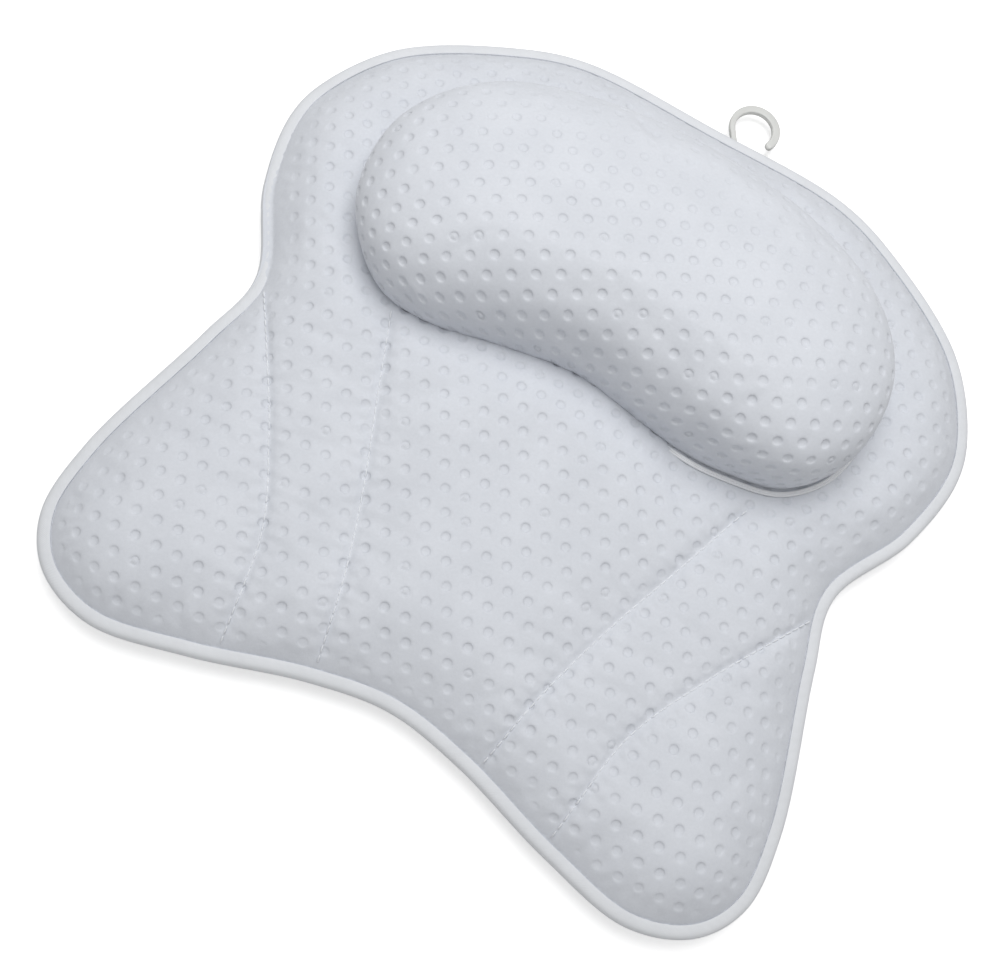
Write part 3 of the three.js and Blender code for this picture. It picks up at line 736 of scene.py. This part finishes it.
def makePadFace():
    face = layCloth('padFace', padCloth, padShape, 3, 1)
    plan = points(face)[:, :2]
    inset, foot, run, direction = insetFrom(plan, padLoop)
    out = -insetFrom(plan, cushionLoop)[0]
    marks = {'inset': inset, 'run': run, 'out': out}
    away = np.full(len(plan), 1.0)
    for spot, path in channels.items():  # signed distance from each channel, and the way along it
        distance, foot, length, side = nearestOn(plan, path, False)
        marks['aside_' + spot] = distance * np.where(((plan - foot) * side).sum(1) < 0, -1, 1)
        marks['along_' + spot] = length
        away = np.minimum(away, distance)
    for name, values in marks.items():
        mark(face, name, values)
    held = np.maximum.reduce([1 - smoothstep(*padAir['edgeHeld'], inset), 1 - smoothstep(*padAir['seamHeld'], away),
                              1 - smoothstep(*padAir['cushionHeld'], out)])
    fillOut(face, held, padAir)
    lining = liningOf(face, pad['coverThickness'])
    makeFine(face)
    straightenEdge(face)
    sewPad(face)
    inset = marked(face, 'inset')
    fade = smoothstep(*padFace['pitsFrom'], inset) * (0.55 + 0.45 * smoothstep(*padFace['pitsGrow'], inset))
    pressDimples(face, padCloth, fade)
    closeShell(face, lining)
    unmark(face, *marks)
    finishPiece(face, faceMaterial, 'pillow', 'front_cover', angle=80)
    return face


padFacePiece = makePadFace()


# ---- the head cushion
cushionCloth = {
    **padCloth,
    'turn': radians(93),
    'centre': (0, cushion['middleY']),
    'span': (0.30, 0.42),
    'pitFlat': 0.45,
    'pitDepth': 0.85 * mm,
}
cushionForm = {
    'section': [(1.0, 0.0), (1.008, 0.05), (1.014, 0.17), (1.014, 0.4), (0.98, 0.63), (0.865, 0.83),
                (0.64, 0.95), (0.37, 0.99), (0.12, 1.0), (0.0, 1.0)],
    'ridgeLength': 0.5,
    'ridgeArch': (0.04, -0.15),
    'droop': 0.1,
    'frontSwell': 0.035,  # the hollow side bulges over the pad's front roll
    'leanBack': 5 * mm,  # and leans back above its foot
    'backSlope': 0.13,  # the far side lies lower than the near side
    'lining': 2.5 * mm,
    'tautBack': 0.45,  # the cloth is stretched on the far side, so its pits are shallower
    'pitsFrom': (3 * mm, 8 * mm),
    'held': (1 * mm, 9 * mm),
    'spare': 1.2 * mm,  # the shape starts this much smaller, and swells
}
cushionAir = {**padAir, 'spare': 0.01, 'furthest': 3 * mm}


def cushionShape(cloth, shrink=0.0):  # a section carried round the base, its far end on a ridge line
    half, tall = cushion['halfLength'], cushion['height']
    section = smoothPath(np.array(cushionForm['section'][::-1]) * (half, tall), False, 0.5, 1 * mm)
    section = section - leftward(np.gradient(section, axis=0)) * shrink
    section[:, 1] = np.maximum(section[:, 1], 0)
    run = runAlong(section)
    base = cushionEdge(2 * mm)
    arch = cushionForm['ridgeArch'][0] + cushionForm['ridgeArch'][1] * (base[:, 0] / cushion['halfWidth']) ** 2
    ridge = np.stack([base[:, 0] * cushionForm['ridgeLength'], cushion['middleY'] + arch * half], 1)
    ray = base - ridge
    results = []
    for part in np.array_split(cloth, len(cloth) // 3000 + 1):  # the ray from ridge to base through each point
        rel = part[:, None] - ridge[None]
        cross = rel[..., 0] * ray[:, 1] - rel[..., 1] * ray[:, 0]
        ahead = (rel * ray).sum(2)
        nextCross, nextAhead = np.roll(cross, -1, 1), np.roll(ahead, -1, 1)
        crosses = (cross * nextCross <= 0) & (ahead + nextAhead > 0)
        reach = np.where(crosses, np.abs(ahead) + np.abs(nextAhead), -1)
        best = np.where(reach.max(1) > 0, reach.argmax(1), (rel ** 2).sum(2).argmin(1))
        rows = np.arange(len(part))
        a, b = cross[rows, best], nextCross[rows, best]
        t = np.clip(a / np.where(np.abs(a - b) < 1e-15, 1, a - b), 0, 1)[:, None]
        after = (best + 1) % len(base)
        results.append((ridge[best] * (1 - t) + ridge[after] * t, base[best] * (1 - t) + base[after] * t, part))
    root, tip, part = (np.concatenate(values) for values in zip(*results))
    toTip = tip - root
    size = np.linalg.norm(toTip, axis=1)
    length = ((part - root) * toTip).sum(1) / size ** 2 * half
    at = np.clip(length, 0, run[-1])
    reach, height = np.interp(at, run, section[:, 0]) / half, np.interp(at, run, section[:, 1])
    front = frontOf(tip)
    swell = 1 + cushionForm['frontSwell'] * front * np.sin(pi * np.clip(height / tall / 0.8, 0, 1))
    plan = root + toTip * (reach * swell)[:, None]
    lean = cushionForm['leanBack'] * pushedForward(tip[:, 0], tip[:, 1])
    plan[:, 1] += lean * reach * smoothstep(0.1, 0.6, height / tall)
    droop = cushionForm['droop'] * (plan[:, 0] / cushion['halfWidth']) ** 2
    far = smoothstep(-0.2, 0.9, (plan[:, 1] - cushion['middleY']) / half)
    height = height * (1 - droop) * (1 - cushionForm['backSlope'] * far)
    sink = frontRoll['sink'] * front
    place = withHeight(plan, cushion['base'] + height - sink * (1 - smoothstep(0, 14 * mm, height)))
    rim = withHeight(root + toTip * section[-1, 0] / half, cushion['base'] - sink)
    return place, length < run[-1], rim


def makeCushion():
    start = cushionForm['spare']
    cover = layCloth('headCushion', cushionCloth, lambda cloth: cushionShape(cloth, start), 3, 2)
    height = points(cover)[:, 2] - cushion['base']
    mark(cover, 'height', height)
    fillOut(cover, 1 - smoothstep(*cushionForm['held'], height), cushionAir)
    lining = liningOf(cover, cushionForm['lining'])
    makeFine(cover)
    far = (points(cover)[:, 1] - cushion['middleY']) / cushion['halfLength']
    fade = 1 - cushionForm['tautBack'] * smoothstep(0.05, 0.6, far)
    pressDimples(cover, cushionCloth, fade * smoothstep(*cushionForm['pitsFrom'], marked(cover, 'height')))
    closeShell(cover, lining)
    unmark(cover, 'height')
    finishPiece(cover, faceMaterial, 'pillow', 'cushion_cover', angle=80)


makeCushion()


# ---- the binding: a tape folded round the edge, its UV map in metres
def rollBand(name, path, sectionAt, closed):  # a section carried along a path in plan
    normals = leftOf(path, closed)
    order = np.arange(len(path) + closed) % len(path)
    run = runAlong(path[order, :2])
    co, uv = [], []
    for i, k in enumerate(order):
        section = np.array(sectionAt(k))
        section = np.concatenate([section, section[:1]])
        x, y = path[k, :2, None] + normals[k, :, None] * section[:, 0]
        co.append(np.stack([x, y, path[k, 2] + section[:, 1]], 1))
        uv.append(np.stack([runAlong(section), np.full(len(section), run[i])], 1))
    band = grid(name, len(co[0]), len(co))
    setPoints(band, np.concatenate(co))
    setUV(band, np.concatenate(uv))
    outward(band)
    return band


binding = {
    'bottom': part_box('edge_binding')[0].z,
    'top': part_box('edge_binding')[1].z,
    'reach': 7 * mm,
    'thickness': 1.1 * mm,
    'bulge': 3.2 * mm,
    'outerSteps': 12,
    'spacing': 1.4 * mm,
    'ripple': 0.18 * mm,
    'ripplePitch': 5.5 * mm,
}


def makeBinding():
    half = (binding['top'] - binding['bottom']) / 2
    reach, wall, bulge, spacing = (binding[key] for key in ('reach', 'thickness', 'bulge', 'spacing'))
    turns = np.linspace(pi / 2, 3 * pi / 2, binding['outerSteps'] + 1)
    inside = half - wall

    def section(k):  # the lip on the face, round the outside, below, and back inside
        ripple = binding['ripple'] * sin(2 * pi * k * spacing / binding['ripplePitch'] + 2 * sin(k * 0.11))
        lip = [(reach, half - 0.25 * mm), (reach - 0.35 * mm, half),
               (reach - 1.4 * mm, half - 0.05 * mm + ripple * 0.4), (reach * 0.62, half + 0.15 * mm + ripple)]
        outer = [(bulge + bulge * cos(t), half * sin(t)) for t in turns]
        under = [(x, -y) for x, y in lip[::-1]]
        hollow = [(reach, inside - 0.05 * mm), (wall + 0.4 * mm, inside), (wall, inside - 0.4 * mm)]
        return lip + outer + under + [(x, -y) for x, y in hollow] + hollow[::-1]

    path = withHeight(loopOf(pad, spacing), binding['bottom'] + half)
    tape = rollBand('edgeBinding', path, section, True)
    finishPiece(tape, bindingMaterial, 'pillow', 'edge_binding', angle=50)


makeBinding()


# ---- the back cover, with a hole for each eyelet
backCover = {
    'bottom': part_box('back_cover')[0].z,
    'top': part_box('back_cover')[1].z,
    'holeRadius': 6.1 * mm,
    'pitDepth': 0.8 * mm,
}


def backShape(cloth):
    inset, foot, run, direction = insetFrom(cloth, padLoop)
    keep = inset > pad['rimInset']
    rim = foot + direction * pad['rimInset']
    for spot in cupPlaces.values():
        centre = np.array(spot[:2])
        away = cloth - centre
        distance = np.linalg.norm(away, axis=1)
        keep &= distance > backCover['holeRadius']
        near = distance < backCover['holeRadius'] * 2
        rim[near] = centre + away[near] / distance[near, None] * backCover['holeRadius']
    return withHeight(cloth, backCover['bottom']), keep, withHeight(rim, backCover['bottom'])


def makeBack():
    cloth = {**padCloth, 'turn': 0.0, 'pitDepth': -backCover['pitDepth']}
    panel = layCloth('backPanel', cloth, backShape, 6, 0)
    pressDimples(panel, cloth, 1.0 * ~borderOf(panel))
    edit(panel, bpy.ops.mesh.flip_normals)
    apply(panel, 'SOLIDIFY', thickness=backCover['top'] - backCover['bottom'], offset=-1)
    finishPiece(panel, backMaterial, 'pillow', 'back_cover', angle=80)


makeBack()


# ---- the fibre inside the pad and the cushion
filling = {
    'inset': 11.5 * mm,
    'gap': 0.6 * mm,
    'pocketRadius': 9.8 * mm,  # over each eyelet and its washer
    'pocketTop': 19 * mm,
    'pocketBelow': 2 * mm,
}


def fillingShape(cloth):
    place = padShape(cloth, pad['coverThickness'] + filling['gap'])[0]
    inset, foot, run, direction = insetFrom(place[:, :2], padLoop)
    height = pad['rimBottom'] + riseAt(filling['inset']) - filling['gap']
    return place, inset > filling['inset'], withHeight(foot + direction * filling['inset'], height)


def closeBelow(piece, level):  # the same sheet again, laid flat underneath and joined along the edge
    unmark(piece, 'latticeX', 'latticeY')
    co = points(piece)
    co[borderOf(piece), 2] = level
    setPoints(piece, co)
    below = copyOf(piece, piece.name + 'Below')
    co[:, 2] = level
    setPoints(below, co)
    edit(below, bpy.ops.mesh.flip_normals)
    joinInto(piece, [below])
    outward(piece)


def makePadFilling():
    fill = layCloth('padFilling', padCloth, fillingShape, 2, 0)
    closeBelow(fill, pad['rimBottom'])
    depth = filling['pocketTop'] - pad['rimBottom'] + filling['pocketBelow']
    for spot in cupPlaces.values():
        cutter = begin('pocket', bpy.ops.mesh.primitive_cylinder_add, vertices=48, radius=filling['pocketRadius'],
                       depth=depth, location=(spot.x, spot.y, filling['pocketTop'] - depth / 2))
        apply(fill, 'BOOLEAN', operation='DIFFERENCE', object=cutter, solver='EXACT')
        bpy.data.objects.remove(cutter)
    finishPiece(fill, fibreMaterial, 'pillow', 'pad_filling')


def makeCushionFilling():
    inner = cushionForm['lining'] + filling['gap'] + cushionForm['spare']
    fill = layCloth('cushionFilling', cushionCloth, lambda cloth: cushionShape(cloth, inner), 2, 1)
    closeBelow(fill, cushion['base'] + 0.05 * mm)
    finishPiece(fill, fibreMaterial, 'pillow', 'cushion_filling')


makePadFilling()
makeCushionFilling()


# ---- the edge where the cushion is sewn on: two fine cords of tape side by side
welt = {
    'radius': 0.78 * mm,
    'apart': 1.36 * mm,
    'dip': 0.42,  # share of the radius left between the cords
    'gap': 0.3 * mm,
    'under': 1.2 * mm,  # how far it is drawn under the cushion at the front roll
    'sides': 10,
}


def makeWelt():
    radius, apart = welt['radius'], welt['apart']
    base = cushionEdge(1.5 * mm)
    front = frontOf(base)
    plan = base - leftOf(base, True) * ((welt['gap'] + radius + apart / 2) * (1 - 0.9 * front))[:, None]
    drop = front * (frontRoll['sink'] + welt['under'])
    section = []
    for side in (1, -1):
        section += [(side * (apart / 2 + radius * cos(t)), side * radius * sin(t))
                    for t in np.linspace(-pi / 2, pi / 2, welt['sides'])]
        section.append((0, side * welt['dip'] * radius))
    piece = rollBand('cushionWelt', withHeight(plan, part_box('cushion_welt')[0].z + radius - drop),
                     lambda k: [(x * (1 - 0.3 * front[k]), z) for x, z in section], True)
    finishPiece(piece, weltPaintedLightMaterial, 'pillow', 'cushion_welt')


makeWelt()


# ---- the stitches in the channels
stitch = {
    'length': 4.2 * mm,
    'gap': 0.45 * mm,
    'radius': 0.42 * mm,
    'endInset': 7.6 * mm,
    'fromCushion': 4 * mm,
}


def makeStitches(spot, path):
    length, radius = stitch['length'], stitch['radius']
    one = begin('stitch', bpy.ops.mesh.primitive_uv_sphere_add, segments=8, ring_count=7, radius=1)
    x, y, z = points(one).T
    x, y, z = np.sign(z) * np.abs(z) ** 0.6 * length / 2, x * radius, y * radius
    setPoints(one, np.stack([x, y, z - (x / length * 2) ** 4 * radius * 0.9], 1))
    inset = insetFrom(path, padLoop)[0]
    out = -insetFrom(path, cushionLoop)[0]
    path = path[(inset > stitch['endInset']) & (out > stitch['fromCushion'])]
    whole = runAlong(path)[-1]
    count = int(whole / (length + stitch['gap']))
    copies = []
    for k in range(count):
        along = (k + 0.5) * whole / count + np.array([-length / 2, 0, length / 2])
        start, middle, end = (padFacePiece.ray_cast(Vector((*place, 0.2)), Vector((0, 0, -1)))[1]
                              for place in placesAt(path, along))
        ahead = (end - start).normalized()
        sideways = Vector((-ahead.y, ahead.x, 0)).normalized()
        turn = Matrix((ahead, sideways, ahead.cross(sideways))).transposed().to_4x4()
        copy = copyOf(one, 'quiltingSeam_' + spot)
        top = max(start.z, middle.z, end.z)
        copy.data.transform(Matrix.Translation((middle.x, middle.y, top + radius * 0.3)) @ turn)
        copies.append(copy)
    bpy.data.objects.remove(one)
    joinInto(copies[0], copies[1:])
    finishPiece(copies[0], threadMaterial, 'pillow', 'quilting_seam_' + spot)
    return count


print('stitches:', sum(makeStitches(spot, path) for spot, path in channels.items()))


# ---- turned plastic pieces: a profile extruded point by point, then spun
def spun(name, profile, steps):
    piece = begin(name, bpy.ops.mesh.primitive_plane_add, size=0.001)
    edit(piece, bpy.ops.mesh.merge, type='CENTER')
    bpy.ops.object.mode_set(mode='EDIT')
    bpy.ops.mesh.select_all(action='SELECT')
    places = [Vector((radius * mm, 0, height * mm)) for radius, height in profile]
    bpy.ops.transform.translate(value=places[0])
    for here, there in zip(places, places[1:]):
        bpy.ops.mesh.extrude_region_move(TRANSFORM_OT_translate={'value': there - here})
    bpy.ops.object.mode_set(mode='OBJECT')
    edit(piece, bpy.ops.mesh.spin, steps=steps, angle=2 * pi, center=(0, 0, 0), axis=(0, 0, 1))
    outward(piece)
    return piece


def placeCopies(one, prefix, material, turns=False):  # one at each cup's place
    for spot, centre in cupPlaces.items():
        piece = copyOf(one, one.name + '_' + spot)
        piece.data.transform(Matrix.Translation((centre.x, centre.y, 0)))
        finishPiece(piece, material, 'cup_' + spot if turns else 'pillow', prefix + spot, angle=40)
    bpy.data.objects.remove(one)


cupProfile = [  # millimetres: radius, height
    (0, 4.5), (3, 4.45), (6, 4.25), (9, 3.8), (12, 3.0), (13.2, 2.55), (13.5, 2.2), (13.9, 2.35), (15.5, 1.75),
    (16.0, 1.3), (16.4, 1.4), (17.8, 0.65), (19, 0), (21.8, 0), (22, 0.15), (22, 0.85), (21.75, 1.1), (20.2, 1.75),
    (18, 2.75), (15.8, 4.1), (13.9, 5.7), (12.2, 7.3), (10.6, 8.7), (9.3, 9.6), (8.8, 9.95), (8.2, 10),
    (4.6, 10), (4.15, 10.12), (4, 10.5), (4, 16.6), (6.5, 16.6), (6.8, 16.85), (6.8, 17.3), (6.4, 17.75),
    (4.6, 18.4), (3.4, 18.6), (0, 18.6),
]
eyeletProfile = [
    (4.3, 10.6), (4.6, 10.3), (9.0, 10.3), (9.4, 10.45), (9.5, 10.8), (9.5, 11.3), (9.3, 11.6), (6.1, 11.6),
    (5.8, 11.8), (5.8, 16.0), (5.6, 16.3), (4.5, 16.3), (4.3, 16.1), (4.3, 10.6),
]
washerProfile = [
    (6.1, 14.9), (6.3, 14.7), (9.3, 14.7), (9.5, 14.9), (9.5, 15.8), (9.3, 16.0), (6.3, 16.0), (6.1, 15.8),
    (6.1, 14.9),
]
placeCopies(spun('suctionCup', cupProfile, 64), 'suction_cup_', cupMaterial, turns=True)
placeCopies(spun('eyelet', eyeletProfile, 56), 'eyelet_', eyeletMaterial)
placeCopies(spun('eyeletWasher', washerProfile, 56), 'eyelet_washer_', eyeletMaterial)
print('cups, eyelets and washers placed:', len(cupPlaces), 'of each')


# ---- the hanging hook and its tape loop
hook = {
    'x': 20 * mm,
    'barY': pad['middleY'] + (207 - 12) * mm,
    'z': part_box('hanging_hook')[0].z + 1.8 * mm,
    'stemRise': 30.5 * mm,
    'ringRadius': 13.4 * mm,
    'width': 3.3 * mm,
    'tipWidth': 4.8 * mm,
    'widens': (0.15, 0.65),  # shares of its length
    'tipRound': 0.55,  # length of the round end, as a share of the tip's width
    'depth': 3.4 * mm,
    'corner': 0.8 * mm,
    'footAngle': 212,
    'tipAngle': -33,
    'eyeLength': 5.6 * mm,
    'eyeCorner': 1.9 * mm,
    'armX': 7.2 * mm,
    'barRadius': 1.6 * mm,
}


def roundedBar(width, depth, corner, steps=4):  # a rectangle with round corners, counterclockwise
    section = []
    for cx, cy, start in ((1, -1, -pi / 2), (1, 1, 0), (-1, 1, pi / 2), (-1, -1, pi)):
        for t in np.linspace(start, start + pi / 2, steps):
            section.append((cx * (width / 2 - corner) + corner * cos(t), cy * (depth / 2 - corner) + corner * sin(t)))
    return section


def makeHook():
    foot = np.array([hook['x'], hook['barY'] + hook['eyeLength']])
    centre = np.array([hook['x'], hook['barY'] + hook['stemRise']])
    turns = np.radians(np.linspace(hook['footAngle'], hook['tipAngle'], 72))
    ring = centre + hook['ringRadius'] * np.stack([np.cos(turns), np.sin(turns)], 1)
    stem = foot + (ring[0] - foot) * np.linspace(0, 1, 14)[:-1, None]
    path = np.concatenate([stem, ring])
    run = runAlong(path)
    whole, tip = run[-1], hook['tipWidth'] * hook['tipRound']
    fine = whole - tip * (1 - np.sin(np.linspace(0, pi / 2, 9)))
    at = np.concatenate([run[run < whole - tip], fine])

    def section(k):
        width = hook['width'] + (hook['tipWidth'] - hook['width']) * smoothstep(*hook['widens'], at[k] / whole)
        left = np.clip((whole - at[k]) / tip, 0, 1)
        close = max((1 - (1 - left) ** 2) ** 0.5, 0.02)
        return [(a * close, b * close) for a, b in roundedBar(width, hook['depth'], hook['corner'])]

    piece = rollBand('hangingHook', withHeight(placesAt(path, at), hook['z']), section, False)
    edit(piece, bpy.ops.mesh.fill_holes, sides=0)
    edit(piece, bpy.ops.mesh.normals_make_consistent, inside=False)

    radius = hook['barRadius']
    bar = [(radius * cos(t), radius * sin(t)) for t in np.linspace(0, 2 * pi, 16, endpoint=False)]
    eye = np.array(roundedBar(2 * hook['armX'], hook['eyeLength'], hook['eyeCorner'], 8))
    eye += (hook['x'], hook['barY'] + hook['eyeLength'] / 2)
    eyePiece = rollBand('hookEye', withHeight(eye, hook['z']), lambda k: bar, True)
    apply(piece, 'BOOLEAN', operation='UNION', object=eyePiece, solver='EXACT')
    bpy.data.objects.remove(eyePiece)
    finishPiece(piece, hookMaterial, 'hook', 'hanging_hook', angle=50)


hookTape = {
    'width': 10 * mm,
    'thickness': 0.85 * mm,
    'corner': 0.3 * mm,
    'tail': 22 * mm,
    'top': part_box('back_cover')[0].z - 0.3 * mm,
    'round': 0.35 * mm,  # its gap round the bar
    'apart': 0.08 * mm,
}


def makeHookTape():
    half = hookTape['thickness'] / 2
    radius = hook['barRadius'] + hookTape['round'] + half
    high = hookTape['top'] - hook['z'] - half
    low = high - hookTape['thickness'] - hookTape['apart']
    turns = np.linspace(pi - np.arcsin(min(low / radius, 1)), 2.5 * pi, 40)
    wrap = [(radius * cos(t), radius * sin(t)) for t in turns]
    lead = [(-hookTape['tail'] * share, low) for share in np.linspace(1, 0.12, 14)]
    back = [(-hookTape['tail'] * share, high) for share in np.linspace(0.1, 1, 14)]
    path = smoothPath(lead + wrap + back, False, 0.5, 0.5 * mm)
    section = roundedBar(hookTape['thickness'], hookTape['width'], hookTape['corner'], 3)
    tape = rollBand('hookTape', withHeight(path, 0), lambda k: section, False)
    edit(tape, bpy.ops.mesh.fill_holes, sides=0)
    along, up, across = points(tape).T
    setPoints(tape, np.stack([hook['x'] + across, hook['barY'] + along, hook['z'] + up], 1))
    outward(tape)
    finishPiece(tape, bindingMaterial, 'pillow', 'hook_tape', angle=50)


makeHook()
makeHookTape()


# ---- camera, light and floor
view = {
    'place': (4.608 * mm, -234.034 * mm, 587.099 * mm),
    'turn': (15.489, -7.075, 28.335),
    'lens': 41.4,
}
studio = {  # each lamp's place, size, energy and shape
    'keyLight': ((-0.1, 0.30, 1.09), 0.85, 7.9, 'DISK'),
    'fillLight': ((0.1, -0.35, 1.5), 1.5, 4.0, 'SQUARE'),
    'world': 0.30,
}


def lookFrom():
    turn = [radians(angle) for angle in view['turn']]
    camera = begin('Camera', bpy.ops.object.camera_add, location=view['place'], rotation=turn)
    camera.data.lens = view['lens']
    camera.data.clip_start = 0.01
    bpy.context.scene.camera = camera


def lightRoom():
    world = bpy.data.worlds.new('studio')
    bpy.context.scene.world = world
    world.use_nodes = True
    tree = world.node_tree
    rays = node(tree, 'LightPath').outputs
    seen = calc(tree, 'MAXIMUM', rays['Is Camera Ray'], rays['Is Glossy Ray'])
    through = calc(tree, 'MAXIMUM', seen, rays['Is Transmission Ray'])
    strength = node(tree, 'Mix', {'A': studio['world'], 'B': 1.0, 'Factor': through}, data_type='FLOAT')
    background = tree.nodes['Background']
    background.inputs['Color'].default_value = (1, 1, 1, 1)
    tree.links.new(strength.outputs['Result'], background.inputs['Strength'])
    for name in ('keyLight', 'fillLight'):
        place, size, energy, shape = studio[name]
        lamp = begin(name, bpy.ops.object.light_add, type='AREA', location=place)
        lamp.data.shape, lamp.data.size, lamp.data.energy = shape, size, energy
        lamp.rotation_euler = (-lamp.location).to_track_quat('-Z', 'Y').to_euler()


def layFloor():
    floor = begin('floor', bpy.ops.mesh.primitive_plane_add, size=8)
    material, tree, shader, place = newMaterial('paleFloor', (0.9, 0.9, 0.9), 0.9)
    plain = shader.outputs['BSDF']
    glow = node(tree, 'Emission', {'Strength': 0.45}).outputs['Emission']
    seen = node(tree, 'LightPath').outputs['Is Camera Ray']
    bright = node(tree, 'AddShader', {0: plain, 1: glow}).outputs['Shader']
    mix = node(tree, 'MixShader', {'Fac': seen, 1: plain, 2: bright})
    tree.links.new(mix.outputs['Shader'], tree.nodes['Material Output'].inputs['Surface'])
    floor.data.materials.append(material)


lookFrom()
lightRoom()
layFloor()
bpy.context.scene.view_settings.view_transform = 'Standard'
print('camera, light and floor set')
